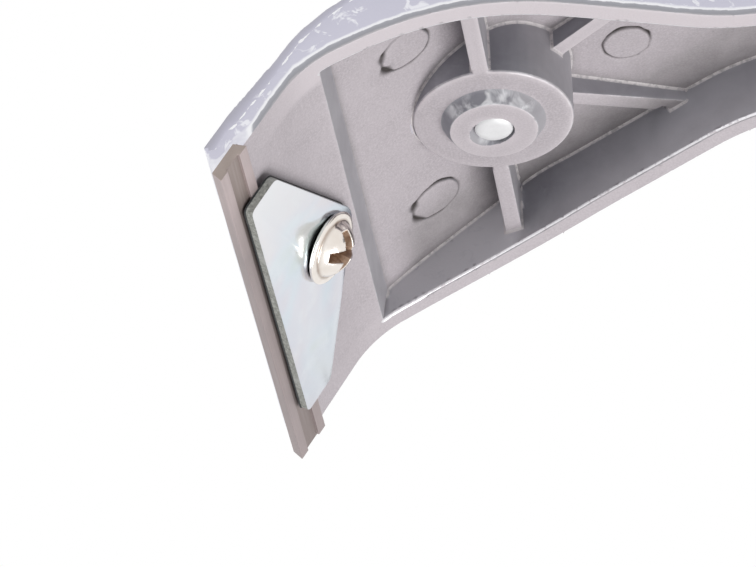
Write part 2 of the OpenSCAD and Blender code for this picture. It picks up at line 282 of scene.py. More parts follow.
def cast_alloy_finish():
    """Blasted aluminium: grained flats, drawn walls, smooth sides and edges, with painted highlights and
    painted shade.
    """
    f, place = new_finish("cast_alloy")
    cast = CastNoise(f, place)
    outside, edge = f.attribute("outside"), f.attribute("edge")
    edge = f.span(edge, 0.6, 1.0, f.span(cast.runs, 0.42, 0.62, 0.1, 0.8) * edge, 1.0)
    wall = f.attribute("wall") * (1 - outside)
    inner = edge_tones(f, cast, f.blend(wall, flat_tones(f, cast), wall_tones(f, cast)), edge)
    # The back is painted darker: painted shade on the upward-facing rounding
    outer = f.blend(f.attribute("back"), side_tones(f, cast, place), rgb(0.56, 0.56, 0.62))
    # Painted shade in the ejector marks' grooves
    colour = f.blend(f.attribute("soil"), f.blend(outside, inner, outer), rgb(0.05, 0.042, 0.04))
    bright = outside.or_more(edge)
    metal = 0.15 * (1 - wall) * (1 - bright) + 0.7 * bright
    rough = 0.6 - 0.08 * wall * (1 - bright) - 0.26 * bright + 0.1 * f.full(cast.mottle)
    height = cast.grain * (1 - 0.75 * bright) * (1 - 0.6 * wall) + 0.8 * cast.pores * (1 - 0.7 * bright)
    return f.surface(colour, rough, {
        "Metallic": metal, "Specular IOR Level": 0.3, "Normal": f.bump(height, 0.06 * MM, 0.55)})


def blade_steel_finish():
    """Ground steel with fine lines along the blade, darker in the groove, to one side and on the ends."""
    f, place = new_finish("blade_steel")
    lines = f.noise(f.stretched(place, (1, 0.02, 1)), 5200, 2.0)
    bands = f.noise(f.stretched(place, (1, 0.05, 1)), 900, 2.0)
    cloud = f.noise(place, 130)
    groove_tone = f.blend(f.span(bands, 0.35, 0.65), rgb(0.29, 0.235, 0.215), rgb(0.38, 0.315, 0.295))
    end_tone = f.two_tones(cloud, rgb(0.34, 0.28, 0.25), rgb(0.44, 0.37, 0.34))
    colour = f.layered(
        f.two_tones(bands, rgb(0.50, 0.415, 0.41), rgb(0.58, 0.49, 0.485)),
        (f.span(cloud, 0.45, 0.75, 0, 0.6), rgb(0.46, 0.40, 0.40)), (f.attribute("groove"), groove_tone),
        (f.span(f.across(place), -27 * MM, -14 * MM, 0, 0.5), rgb(0.24, 0.20, 0.20)),
        (f.attribute("end"), end_tone))
    rough = 0.40 + 0.14 * f.full(lines)
    return f.surface(colour, rough, {"Metallic": 0.55, "Normal": f.bump(lines, 0.01 * MM, 0.5)})


def zinc_finish():
    """Bright zinc with passivated tints, and painted light that makes it paler towards one end and darker
    towards the other.
    """
    f, place = new_finish("zinc_plate")
    across = f.across(place)
    cloud = f.noise(place, 240, 4.0, 0.6)
    specks = f.noise(place, 2400, 2.0)
    colour = f.layered(
        f.ramp(f.noise(place, 55, 2.0, 0.5, 0.8), ZINC_TINTS),
        # Painted light: paler towards one end and darker towards the other
        (f.span(across, -4 * MM, -22 * MM, 0, 0.75), rgb(0.84, 0.85, 0.86)),
        (f.span(across, 2 * MM, 24 * MM, 0, 0.7), rgb(0.58, 0.60, 0.655)),
        (f.span(cloud, 0.5, 0.8, 0, 0.5), rgb(0.78, 0.81, 0.83)),
        (f.span(specks, 0.32, 0.2, 0, 0.5), rgb(0.55, 0.58, 0.58)))
    rough = 0.10 + 0.08 * f.full(cloud) + 0.04 * specks
    return f.surface(colour, rough, {"Metallic": 1.0, "Normal": f.bump(specks, 0.012 * MM, 0.5)})


def sheared_finish():
    """Sheared edge of the plate, dull and grey green, with painted shadow at the gap under it."""
    f, place = new_finish("sheared_edge")
    tears = f.noise(place, 2600, 3.0, 0.7)
    cloud = f.noise(place, 300)
    colour = f.layered(
        f.two_tones(tears, rgb(0.17, 0.175, 0.155), rgb(0.56, 0.57, 0.53)),
        (f.span(cloud, 0.5, 0.75, 0, 0.6), rgb(0.60, 0.61, 0.59)),
        # Painted shadow in the gap under the plate
        (f.attribute("gap") * f.span(cloud, 0.2, 0.5, 0.85, 1.0), rgb(0.02, 0.022, 0.024)))
    rough = 0.5 + 0.2 * tears
    return f.surface(colour, rough, {"Metallic": 0.15, "Normal": f.bump(tears, 0.06 * MM, 0.6)})


def nickel_finish():
    """Warm nickel on the clamp screw, with painted shade in the crease round its dome."""
    f, place = new_finish("nickel_screw")
    cloud = f.noise(place, 420)
    specks = f.noise(place, 2600, 2.0)
    clouded = f.span(cloud, 0.35, 0.7)
    colour = f.blend(clouded, rgb(0.80, 0.735, 0.675), rgb(0.88, 0.83, 0.785))
    crease = f.attribute("crease") * f.span(cloud, 0.3, 0.6, 0.95, 0.6)
    colour = f.blend(crease, colour, rgb(0.26, 0.18, 0.13))
    rough = 0.10 + 0.08 * clouded + 0.05 * specks
    return f.surface(colour, rough, {"Metallic": 1.0, "Normal": f.bump(cloud, 0.02 * MM, 0.35)})


def recess_finish():
    """Nickel in the shade of the cross recess."""
    f, place = new_finish("nickel_recess")
    cloud = f.noise(place, 900)
    colour = f.blend(f.span(cloud, 0.35, 0.65), rgb(0.24, 0.14, 0.085), rgb(0.52, 0.37, 0.27))
    return f.surface(colour, 0.4 + 0.12 * cloud, {"Metallic": 0.4})


def stud_finish():
    """Bright turned steel."""
    f, place = new_finish("stud_steel")
    grain = f.noise(place, 3000, 2.0)
    colour = f.two_tones(f.noise(place, 700), rgb(0.82, 0.815, 0.82), rgb(0.90, 0.895, 0.90))
    rough = 0.4 + 0.14 * grain
    return f.surface(colour, rough, {"Metallic": 0.3, "Normal": f.bump(grain, 0.03 * MM, 0.5)})


def knob_finish():
    """Satin black moulded plastic."""
    f, place = new_finish("knob_plastic")
    grain = f.noise(place, 1600)
    cloud = f.noise(place, 60)
    colour = f.two_tones(cloud, rgb(0.018, 0.018, 0.019), rgb(0.032, 0.032, 0.034))
    return f.surface(colour, 0.34 + 0.12 * f.full(grain), {
        "Coat Weight": 0.15 + 0.15 * cloud, "Normal": f.bump(grain, 0.03 * MM, 0.35)})


def rubber_finish():
    """Matt black soft grip with a fine moulded grain."""
    f, place = new_finish("grip_rubber")
    cells = f.node("ShaderNodeTexVoronoi", {"feature": "F1"}, {"Vector": place, "Scale": 900.0}, "Distance")
    colour = f.two_tones(f.noise(place, 45), rgb(0.022, 0.022, 0.024), rgb(0.040, 0.040, 0.043))
    colour = f.blend(f.span(cells, 0.5, 0.9, 0, 0.6), colour, rgb(0.012, 0.012, 0.013))
    rough = 0.62 + 0.2 * f.span(cells, 0.2, 0.8)
    return f.surface(colour, rough, {"Normal": f.bump(1 - cells, 0.18 * MM, 0.5)})


# Mesh helpers

# Distances within which points are one, in a CAD node and in a piece, and the bend that counts as flat
CAD_MERGE = 0.002 * MM
MERGE = 0.001 * MM
FLAT = math.radians(0.4)


def merged_copy(name):
    """A copy of a CAD node with its loose triangles joined."""
    bm = bmesh.new()
    bm.from_mesh(frame["nodes"][name].data)
    bmesh.ops.remove_doubles(bm, verts=bm.verts, dist=CAD_MERGE)
    return bm


def node_copy(name):
    """The same with its flat faces made whole."""
    bm = merged_copy(name)
    bmesh.ops.dissolve_limit(bm, angle_limit=FLAT, verts=bm.verts, edges=bm.edges)
    return bm


def all_of(bm):
    return bm.verts[:] + bm.edges[:] + bm.faces[:]


def sharp_edges(bm, angle):
    return [e for e in bm.edges if e.calc_face_angle(0) > angle]


def rounded(bm, edges, width, segments):
    """Rounds edges and gives the new faces."""
    return bmesh.ops.bevel(bm, geom=edges, offset=width, offset_type="OFFSET", segments=segments,
                           profile=0.5, affect="EDGES", material=-1)["faces"]


def turned(profile, steps):
    """A solid turned about Z, from points of radius and height in millimetres."""
    bm = bmesh.new()
    verts = [bm.verts.new((r * MM, 0, h * MM)) for r, h in profile]
    edges = [bm.edges.new(pair) for pair in zip(verts, verts[1:])]
    bmesh.ops.spin(bm, geom=verts + edges, cent=(0, 0, 0), axis=(0, 0, 1), angle=math.tau, steps=steps,
                   use_merge=True)
    bmesh.ops.remove_doubles(bm, verts=bm.verts, dist=MERGE)
    bmesh.ops.recalc_face_normals(bm, faces=bm.faces)
    return bm


def arc_points(centre, radius, start, end, count):
    """Points of an arc between two angles in degrees."""
    turns = [math.radians(start + (end - start) * i / count) for i in range(count + 1)]
    return [(centre[0] + radius * math.cos(t), centre[1] + radius * math.sin(t)) for t in turns]


def make_object(name, bm):
    mesh = bpy.data.meshes.new(name)
    bm.to_mesh(mesh)
    bm.free()
    obj = bpy.data.objects.new(name, mesh)
    scene.collection.objects.link(obj)
    return obj


def turned_object(name, profile, steps, place):
    """An object turned about its axis and put in its place."""
    obj = make_object(name, turned(profile, steps))
    obj.data.transform(place)
    return obj


@contextmanager
def reshaped(obj):
    """Opens an object's mesh for mesh operators and puts it back."""
    bm = bmesh.new()
    bm.from_mesh(obj.data)
    yield bm
    bm.to_mesh(obj.data)
    bm.free()


def with_modifiers_applied(obj):
    """Puts the mesh that the modifiers give into the object."""
    graph = bpy.context.evaluated_depsgraph_get()
    mesh = bpy.data.meshes.new_from_object(obj.evaluated_get(graph))
    old = obj.data
    obj.modifiers.clear()
    obj.data = mesh
    bpy.data.meshes.remove(old)


def cut_with(obj, *cutters):
    """Takes the cutters out of the object and removes them."""
    for cutter in cutters:
        cut = obj.modifiers.new("cut", "BOOLEAN")
        cut.object = cutter
        cut.operation = "DIFFERENCE"
        cut.solver = "EXACT"
    with_modifiers_applied(obj)
    for cutter in cutters:
        bpy.data.objects.remove(cutter)


def finished(obj, body, node, finishes, sharp=40):
    """Shades a piece, gives it its finishes and ties it to the frame."""
    kinds = [face.material_index for face in obj.data.polygons]
    obj.data.materials.clear()
    for finish in finishes:
        obj.data.materials.append(finish)
    obj.data.polygons.foreach_set("material_index", kinds)
    obj.data.shade_smooth()
    obj.data.set_sharp_from_angle(angle=math.radians(sharp))
    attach(obj, body)
    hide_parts(node)
    return obj


def clamp_frame():
    """The screw's place: X along the plate, Z out of it."""
    turn = next(j for j in frame["joints"] if j["name"] == "screw_turn")
    out = Vector(turn["axis"]).normalized()
    across = Vector((0, -1, 0))
    back = across.cross(out)
    place = Matrix((back, across, out)).transposed().to_4x4()
    place.translation = Vector(turn["pos_m"])
    return place


def on_knob_axis(z):
    return Matrix.Translation((BOSS.x, 0, z))


# Casting: its grid

# Fineness of the even grid, length of tang that is kept inside the grip, and what counts as a bent face
GRID_DEPTH = 8
GRID_SPAN = 0.78
TANG_STUB = 2 * MM
BENT = 0.01 * MM
# Sink in the disc on the boss: how low it lies, its wall, and the crescent that stays open, in millimetres
SINK_DROP = 1.5 * MM
SINK_WALL = (2.6 * MM, 4.5 * MM)
CRESCENT = math.radians(143)
CRESCENT_RADIUS = 2.62
CRESCENT_WIDTH = 0.9


def narrow_sink(bm):
    """Draws in the sink round the stud's end to a crescent on one side."""
    for v in bm.verts:
        away = (v.co - BOSS).to_2d()
        if v.co.z < BOSS.z - SINK_DROP and SINK_WALL[0] < away.length < SINK_WALL[1]:
            facing = max(0.0, math.cos(math.atan2(away.y, away.x) - CRESCENT))
            v.co.xy = BOSS.xy + away.normalized() * (CRESCENT_RADIUS + CRESCENT_WIDTH * facing ** 2) * MM


def split_bent_faces(obj, shape):
    """Splits the bent faces of the grid along the edges of the shape."""
    with reshaped(obj) as bm:
        for face in [f for f in bm.faces if len(f.verts) == 4]:
            a, b, c, d = face.verts
            first, second = (a.co + c.co) / 2, (b.co + d.co) / 2
            if abs((first - second).dot(face.normal)) > BENT:
                along = shape.find_nearest(first)[3] < shape.find_nearest(second)[3]
                bmesh.utils.face_split(face, *((a, c) if along else (b, d)))


def casting_shell():
    """The casting as an even grid of faces with its edges kept, without the hidden part of its tang."""
    bm = merged_copy("body_casting")
    bmesh.ops.bisect_plane(bm, geom=all_of(bm), dist=MERGE, plane_co=(NECK_END_X + TANG_STUB, 0, 0),
                           plane_no=(1, 0, 0), clear_outer=True)
    bmesh.ops.holes_fill(bm, edges=[e for e in bm.edges if e.is_boundary])
    narrow_sink(bm)
    shape = BVHTree.FromBMesh(bm)
    obj = make_object("casting", bm)
    grid = obj.modifiers.new("grid", "REMESH")
    grid.mode = "SHARP"
    grid.octree_depth = GRID_DEPTH
    grid.scale = GRID_SPAN
    grid.use_remove_disconnected = False
    with_modifiers_applied(obj)
    split_bent_faces(obj, shape)
    return obj


# Casting: arrays of its points

# Step along the length, depth that counts as side wall, its least height, and the spread of its bands
BIN = 1.0 * MM
SIDE_DEPTH = 1.5 * MM
LEAST_SIDE = 0.5 * MM
BAND_SPREAD = 7 * MM
EVENED_BINS = 5
EASING = 0.8


def spread_mean(values, pairs, counts):
    """The mean of each point's neighbours."""
    total = np.empty_like(values)
    for axis in range(values.shape[1]):
        column = values[:, axis]
        total[:, axis] = np.bincount(pairs[:, 0], column[pairs[:, 1]], len(column))
        total[:, axis] += np.bincount(pairs[:, 1], column[pairs[:, 0]], len(column))
    return total / counts[:, None]


def smooth_step(low, high, values):
    share = np.clip((values - low) / (high - low), 0, 1)
    return share * share * (3 - 2 * share)


def vectors(elements, name):
    """A named vector of each element, as rows."""
    rows = np.empty(len(elements) * 3)
    elements.foreach_get(name, rows)
    return rows.reshape(-1, 3)


def from_boss(places):
    return np.hypot(places[:, 0] - BOSS.x, places[:, 1])


class Grid:
    """Points, normals and neighbours of a mesh, as arrays."""

    def __init__(self, mesh):
        self.count = len(mesh.vertices)
        self.places = vectors(mesh.vertices, "co")
        self.normals = vectors(mesh.vertex_normals, "vector")
        pairs = np.empty(len(mesh.edges) * 2, dtype=np.int64)
        mesh.edges.foreach_get("vertices", pairs)
        self.pairs = pairs.reshape(-1, 2)
        self.counts = np.maximum(np.bincount(pairs, minlength=self.count), 1).astype(float)

    def outward(self):
        """How far each point faces away from the middle line."""
        return self.normals[:, 1] * np.sign(self.places[:, 1])

    def eased(self, weight, times):
        """The points after they have moved towards their neighbours, each as far as its weight says."""
        places = self.places
        near = self.pairs[(weight[self.pairs] > 0).any(axis=1)]
        for _ in range(times):
            step = EASING * (spread_mean(places, near, self.counts) - places)
            places = places + np.where(weight[:, None] > 0, step * weight[:, None], 0)
        return places


class SideWalls:
    """Half the casting's width along its length, and where its side walls begin and end."""

    def __init__(self, places):
        bins = np.round(places[:, 0] / BIN).astype(int)
        first = bins.min()
        self.wide = np.zeros(bins.max() - first + 1)
        np.maximum.at(self.wide, bins - first, np.abs(places[:, 1]))
        at_side = np.abs(places[:, 1]) > self.wide[bins - first] - SIDE_DEPTH
        self.low, self.high = np.full(len(self.wide), 1.0), np.full(len(self.wide), -1.0)
        np.minimum.at(self.low, bins[at_side] - first, places[at_side, 2])
        np.maximum.at(self.high, bins[at_side] - first, places[at_side, 2])
        self.low += np.abs(np.gradient(self.low)) / 2
        self.high -= np.abs(np.gradient(self.high)) / 2
        self.along = (np.arange(len(self.wide)) + first) * BIN

    def inside(self, places):
        """How far points lie from the side's surface."""
        return np.interp(places[:, 0], self.along, self.wide) - np.abs(places[:, 1])

    def share(self, places):
        """Where points lie between the rim, 0, and the back, 1."""
        low = np.interp(places[:, 0], self.along, self.low)
        high = np.interp(places[:, 0], self.along, self.high)
        return (places[:, 2] - low) / np.maximum(high - low, LEAST_SIDE)

    def band(self, places):
        """The same, with one half for the first millimetres at the rim and one for those at the back."""
        lean = np.gradient(np.convolve(self.low, np.ones(EVENED_BINS) / EVENED_BINS, "same"), BIN)
        thick = np.interp(places[:, 0], self.along, (self.high - self.low) / np.hypot(1, lean))
        share = np.clip(self.share(places), 0, 1)
        up = np.clip(share * thick / BAND_SPREAD, 0, 0.5)
        down = np.clip((1 - share) * thick / BAND_SPREAD, 0, 0.5)
        return np.where(share < 0.5, up, 1 - down)


# Casting: its rounds

BACK_PASSES = 20
# Edges with a sharper bend than this, in radians, get a round
SHARP_BEND = 0.7
TINY_EDGE = 0.1 * MM
EDGE_ROUND = 0.11 * MM
RIM_ROUND = 0.4 * MM
BOSS_ROUND = 0.3 * MM
FILLET = 0.3 * MM
# Where the rim's inner edge lies inside the side, and where the boss has its edge
RIM_WIDTHS = (1.7 * MM, 5.5 * MM)
BOSS_RADIUS = 10.4 * MM
BOSS_SLACK = (0.6 * MM, 0.4 * MM)
# The lowest strip of the rim's round, by its normal, and the reach of the painted shade at the blade's rear
LOW_STRIP = -0.88
EDGE_SHADE_REACH = 0.5 * MM


def round_back(mesh):
    """Rounds the long edges of the casting's back, and tells where the sides lie."""
    grid = Grid(mesh)
    sides = SideWalls(grid.places)
    x = grid.places[:, 0]
    upper = smooth_step(0.45, 0.55, sides.share(grid.places))
    upper *= smooth_step(5.5 * MM, 4 * MM, sides.inside(grid.places))
    upper *= smooth_step(-0.2, 0.1, np.maximum(grid.outward(), grid.normals[:, 2]))
    neck = smooth_step(NECK_END_X - 3 * MM, NECK_END_X - 8 * MM, x)
    nose = smooth_step(NOSE_X, NOSE_X + 8 * MM, x)
    mesh.vertices.foreach_set("co", grid.eased(upper * neck * nose, BACK_PASSES).ravel())
    mesh.update()
    return sides


def edge_kinds(bm, sides):
    """The sharp edges of the casting by kind: width, segments, painted highlight and painted fillet light
    of each.
    """
    sharp = [e for e in bm.edges if e.is_manifold and e.calc_face_angle(0) > SHARP_BEND]
    middles = np.array([(e.verts[0].co + e.verts[1].co) / 2 for e in sharp])
    convex = np.array([e.is_convex for e in sharp])
    across = np.array([abs((e.verts[0].co - e.verts[1].co).normalized().y) for e in sharp])
    x, inside, share, away = middles[:, 0], sides.inside(middles), sides.share(middles), from_boss(middles)
    rim = convex & (inside > RIM_WIDTHS[0]) & (inside < RIM_WIDTHS[1]) & (share < 0.4)
    rim &= (x > PAD_END_X) & (across < 0.8)
    boss = convex & (np.abs(away - BOSS_RADIUS) < BOSS_SLACK[0])
    boss &= np.abs(middles[:, 2] - BOSS.z) < BOSS_SLACK[1]
    along_side = (x > HOLLOW_X - 7 * MM) & (inside < 5 * MM) & (share > 0.45)
    hollow = ~convex & ((x > HOLLOW_X) | along_side) & (away > 8 * MM) & (inside > 2 * MM)
    kinds = ((rim, RIM_ROUND, 3, 1.0, 0.0), (boss, BOSS_ROUND, 2, 0.55, 0.0),
             (hollow, FILLET, 2, 0.0, 1.0), (convex & ~rim & ~boss, EDGE_ROUND, 2, 0.5, 0.0))
    return [([e for e, picked in zip(sharp, kind) if picked], *rest) for kind, *rest in kinds]


def in_edge_shade(face, of_rim):
    """Whether a round's face gets painted shade: the rim's lowest strip on the far side, or a face at the
    blade's rear.
    """
    centre = face.calc_center_median()
    off = centre - SEAT_REAR
    at_blade = max(abs(off.dot(SEAT_BACK)), abs(off.dot(SEAT_OUT))) < EDGE_SHADE_REACH
    return at_blade or (of_rim and face.normal.z < LOW_STRIP and centre.y > 0)


def round_edges(bm, sides):
    """Small rounds on the sharp edges, told apart for the finish."""
    bmesh.ops.dissolve_degenerate(bm, dist=TINY_EDGE, edges=bm.edges)
    # Each round's faces store their painted highlight, painted fillet light and painted shade
    bright, fillet, dull = (bm.faces.layers.float.new(name) for name in ("edge", "fillet", "dull"))
    for edges, width, segments, brightness, hollow in edge_kinds(bm, sides):
        for face in rounded(bm, [e for e in edges if e.is_valid], width, segments):
            face.normal_update()
            face[dull] = float(in_edge_shade(face, width == RIM_ROUND))
            face[bright], face[fillet] = brightness * (1 - face[dull]), hollow
    bmesh.ops.remove_doubles(bm, verts=bm.verts, dist=MERGE)


# Casting: its ejector marks

MARK_RADIUS = 3.15 * MM
# Place of each mark behind and beside the boss in millimetres, then its stretches of deeper groove and
# painted shade:
# angle, spread, darkness, width
EJECTOR_MARKS = [
    ((-9.35, -15.8), [(80, 50, 0.9, 0.2), (150, 18, 1.0, 0.6), (200, 20, 0.9, 0.36), (330, 25, 0.8, 0.2)]),
    ((-9.8, 17.0), [(285, 50, 0.9, 0.2), (205, 16, 0.9, 0.5), (150, 24, 0.9, 0.42), (100, 40, 0.7, 0.2)]),
    ((18.0, 0.1), [(270, 55, 1.0, 0.26), (335, 25, 0.8, 0.22), (150, 40, 0.5, 0.16)]),
]
# Darkness, which sets depth and painted shade, and width of a mark's outline between the stretches
MARK_DARK, MARK_WIDTH = 0.35, 0.15
# Faces that look down, and how far below the boss a mark may lie
LOOKS_DOWN = -0.6
MARK_DROP = 6 * MM
# Reach of the finer faces and of a mark's relief round its outline
FINE_REACH, MARK_REACH = 0.7 * MM, 1.2 * MM
# How far and how often the outline wanders, and how soft the step of the disc is
WANDER, WANDER_SIZE = 0.14 * MM, 1.2 * MM
DISC_STEP = 0.05 * MM
# Height of the disc and depth of the groove in millimetres
DISC_HEIGHT, GROOVE_DEPTH = 0.1, 0.3


def mark_groove(stretches, turn):
    """Darkness, which sets the groove's depth and its painted shade, and width of a mark's outline at an
    angle.
    """
    dark, width = MARK_DARK, MARK_WIDTH
    for angle, spread, darkness, wide in stretches:
        off = (math.degrees(turn) - angle + 180) % 360 - 180
        share = math.exp(-(off / spread) ** 2)
        dark += darkness * share
        width = max(width, wide * share)
    return min(dark, 1.0), width * MM


def refine_mark(bm, centre):
    """Finer faces round the outline of a mark."""
    def near(face):
        middle = face.calc_center_median()
        off = (middle - centre).to_2d().length - MARK_RADIUS
        return face.normal.z < LOOKS_DOWN and middle.z > BOSS.z - MARK_DROP and abs(off) < FINE_REACH

    edges = {e for face in bm.faces if near(face) for e in face.edges}
    bmesh.ops.subdivide_edges(bm, edges=list(edges), cuts=3, use_grid_fill=True)
    bm.normal_update()


def casting_marks(bm):
    """Ejector marks: a low disc inside an uneven groove each, with painted shade in the groove."""
    soil = bm.verts.layers.float.new("soil")
    for (x, y), stretches in EJECTOR_MARKS:
        centre = BOSS + Vector((x, y, 0)) * MM
        refine_mark(bm, centre)
        for v in bm.verts:
            away = (v.co - centre).to_2d()
            beyond = away.length - MARK_RADIUS
            if beyond > MARK_REACH or v.normal.z > LOOKS_DOWN or v.co.z < BOSS.z - MARK_DROP:
                continue
            wander = noise.noise(Vector((away.x, away.y, x * MM)) / WANDER_SIZE)
            dark, width = mark_groove(stretches, math.atan2(away.y, away.x))
            off = (beyond - WANDER * wander) / width
            deep = math.exp(-off * off) * dark
            disc = 1 / (1 + math.exp(min(30, beyond / DISC_STEP)))
            v[soil] = max(0.0, min(1.0, deep * (1.15 + 0.4 * wander)))
            v.co += v.normal * (DISC_HEIGHT * disc - GROOVE_DEPTH * deep) * MM


# Casting: what its finish reads

CORNER_PASSES = 40
DISC_RADIUS = 7.2 * MM
BOSS_CLEAR = 9.5 * MM
# Depth of the skin's unevenness, and the sizes of its waves
RIPPLE = 0.05 * MM
LONG_WAVE = 6 * MM
SHORT_WAVE = 2.5 * MM


def store(mesh, name, values, domain="POINT"):
    layer = mesh.attributes.new(name, "FLOAT", domain)
    layer.data.foreach_set("value", np.clip(values, 0, 1).astype(np.float32))


def on_disc(places):
    """Whether points belong to the disc that stands on the boss."""
    return (from_boss(places) < DISC_RADIUS) & (places[:, 2] < BOSS.z + 0.05 * MM)


def skin_tones(mesh, sides, grid):
    """Stores where the outer skin is, where the back gets painted shade, and the bands of the side, and
    gives the skin.
    """
    places, normals = grid.places, grid.normals
    side = smooth_step(2.2 * MM, 1.2 * MM, sides.inside(places)) * smooth_step(0.3, 0.62, grid.outward())
    back = smooth_step(0.05, 0.3, normals[:, 2])
    front = smooth_step(-0.62, -0.8, normals[:, 0]) * (places[:, 0] < NOSE_X + 5 * MM)
    outside = np.maximum(np.maximum(side, back), front)
    at_blade = smooth_step(SEAT_END_X + 2.5 * MM, SEAT_END_X - 0.5 * MM, places[:, 0])
    store(mesh, "outside", outside)
    store(mesh, "back", back * smooth_step(0.9, 1.0, sides.share(places)))
    # Painted light on the nose's front and beside the blade
    store(mesh, "band", np.maximum(sides.band(places), FRONT_LIGHT_BAND * np.maximum(front, at_blade)))
    return outside


def corner_tones(mesh, sides, grid):
    """Stores painted shade in the corners, and painted light on the rim and raised places, most on the side
    towards the side lamp.
    """
    places = grid.places
    soft = grid.eased(np.ones(grid.count), CORNER_PASSES)
    sunk = ((soft - places) * grid.normals).sum(1)
    # Painted shade where the surface is sunk, in corners
    store(mesh, "corner", smooth_step(0.08 * MM, 0.55 * MM, sunk) * (from_boss(places) > BOSS_CLEAR))
    flat_rim = smooth_step(5 * MM, 3.8 * MM, sides.inside(places))
    flat_rim *= smooth_step(0.45, 0.3, sides.share(places))
    raised = smooth_step(0.05 * MM, 0.5 * MM, -sunk)
    behind_pad = smooth_step(PAD_END_X - 8 * MM, PAD_END_X + 2 * MM, places[:, 0])
    # Painted light, stronger on the side towards the side lamp
    lamp_side_light = smooth_step(12 * MM, 0.0, places[:, 1]) * 0.7 + 0.3
    store(mesh, "rim", np.maximum(flat_rim, raised) * behind_pad * lamp_side_light)


def wall_shades(mesh, sides, grid):
    """Stores painted shade and light of the hollow's walls, painted shade on the floor along one side, and
    painted glints on the disc.
    """
    places, normals = grid.places, grid.normals
    x, share, inside = places[:, 0], sides.share(places), sides.inside(places)
    facing = smooth_step(0.0, 0.65, -0.75 * normals[:, 0] - 0.85 * normals[:, 1])
    near_side = smooth_step(7 * MM, 5.5 * MM, inside)
    near_rim = smooth_step(0.55, 0.02, share) * near_side
    ahead = smooth_step(BOSS.x + 1 * MM, BOSS.x - 1 * MM, x) * near_side
    astern = smooth_step(BOSS.x + 5 * MM, BOSS.x + 15 * MM, x) * near_side
    low_side = smooth_step(18 * MM, 6 * MM, inside) * (places[:, 1] > 0)
    in_hollow = smooth_step(HOLLOW_X - 5 * MM, HOLLOW_X, x)
    store(mesh, "shade", facing * (1 - 0.8 * near_rim) * (1 - 0.75 * ahead))
    store(mesh, "lift", facing * np.maximum(0.85 * ahead, 0.3 * astern))
    # Painted shade on the floor along the far side of the hollow
    store(mesh, "grime", low_side * in_hollow * smooth_step(0.4, 0.55, share))
    # Painted glints on the side of the disc's wall that faces the camera's side
    store(mesh, "spark", on_disc(places) * smooth_step(0.35, 0.6, -normals[:, 1]))


def wall_faces(mesh):
    """Stores which faces are walls, the cone of the disc among them."""
    places, normals = vectors(mesh.polygons, "center"), vectors(mesh.polygons, "normal")
    steep = smooth_step(-0.52, -0.3, normals[:, 2])
    on_cone = on_disc(places) * smooth_step(-0.92, -0.85, normals[:, 2])
    store(mesh, "wall", np.maximum(steep, on_cone), "FACE")


def ripple_at(place):
    place = Vector(place)
    return noise.noise(place / LONG_WAVE) + 0.5 * noise.noise(place / SHORT_WAVE)


def ripple_skin(mesh, sides, grid, outside):
    """Makes the outer skin a little uneven, but not the rim's edge."""
    ripple = np.array([ripple_at(p) if o > 0.05 else 0 for p, o in zip(grid.places, outside)])
    weight = outside * smooth_step(0.05, 0.3, sides.share(grid.places))
    depth = weight * np.maximum(0, RIPPLE * (ripple + 0.8))
    mesh.vertices.foreach_set("co", (grid.places - grid.normals * depth[:, None]).ravel())
    mesh.update()


def casting(finish):
    """The cast head and neck."""
    obj = casting_shell()
    sides = round_back(obj.data)
    with reshaped(obj) as bm:
        round_edges(bm, sides)
        bm.normal_update()
        casting_marks(bm)
    grid = Grid(obj.data)
    outside = skin_tones(obj.data, sides, grid)
    corner_tones(obj.data, sides, grid)
    wall_shades(obj.data, sides, grid)
    wall_faces(obj.data)
    ripple_skin(obj.data, sides, grid, outside)
    return finished(obj, "handle", "body_casting", [finish], sharp=60)


# Blade and clamp plate

BLADE_ROUND = 0.07 * MM
# How far the groove's floor lies at least below the lands
GROOVE_DROP = 0.15 * MM
PLATE_CORNER = 0.8 * MM
PLATE_ROUND = 0.1 * MM
# Height in the plate above which its rim is the upper one, and the part round the screw that has no burr
PLATE_MIDDLE = 0.5 * MM
PLATE_HOLE = 4 * MM
# Burr that shearing left round the underside of the plate
BURR_HEIGHT = 0.2 * MM
BURR_REACH = 0.17 * MM
BURR_LIFT = 0.05 * MM
SLACK = 0.01 * MM
CUT_SLACK = 1e-7


def blade(finish):
    """The reversible blade, with its groove and ends told apart for the finish."""
    bm = node_copy("blade")
    rounded(bm, sharp_edges(bm, 0.3), BLADE_ROUND, 2)
    groove, end = bm.faces.layers.float.new("groove"), bm.faces.layers.float.new("end")
    top = max(v.co.dot(SEAT_OUT) for v in bm.verts)
    for face in bm.faces:
        low = face.calc_center_median().dot(SEAT_OUT) < top - GROOVE_DROP
        face[groove] = float(low and face.normal.dot(SEAT_OUT) > 0.9)
        face[end] = float(abs(face.normal.y) > 0.8)
    obj = make_object("reversible_blade", bm)
    return finished(obj, "blade", "blade", [finish], sharp=25)


def plate_burr(bm, out, low):
    """Draws out the lowest points of the plate's sides, and tells apart the faces of the burr, which get
    painted shadow.
    """
    bmesh.ops.bisect_plane(bm, geom=all_of(bm), dist=CUT_SLACK, plane_co=out * (low + BURR_HEIGHT),
                           plane_no=out)
    bm.normal_update()
    screw = clamp_frame().translation
    for v in [v for v in bm.verts if v.co.dot(out) < low + SLACK and (v.co - screw).length > PLATE_HOLE]:
        sides = [f.normal for f in v.link_faces if abs(f.normal.dot(out)) < 0.5]
        v.co += sum(sides, Vector()).normalized() * BURR_REACH + out * BURR_LIFT
    bm.normal_update()
    gap = bm.faces.layers.float.new("gap")
    for face in bm.faces:
        highest = max(v.co.dot(out) - low for v in face.verts)
        face[gap] = float(BURR_LIFT < highest < BURR_HEIGHT + SLACK)
        face.material_index = 1 if abs(face.normal.dot(out)) < 0.5 or face[gap] else 0


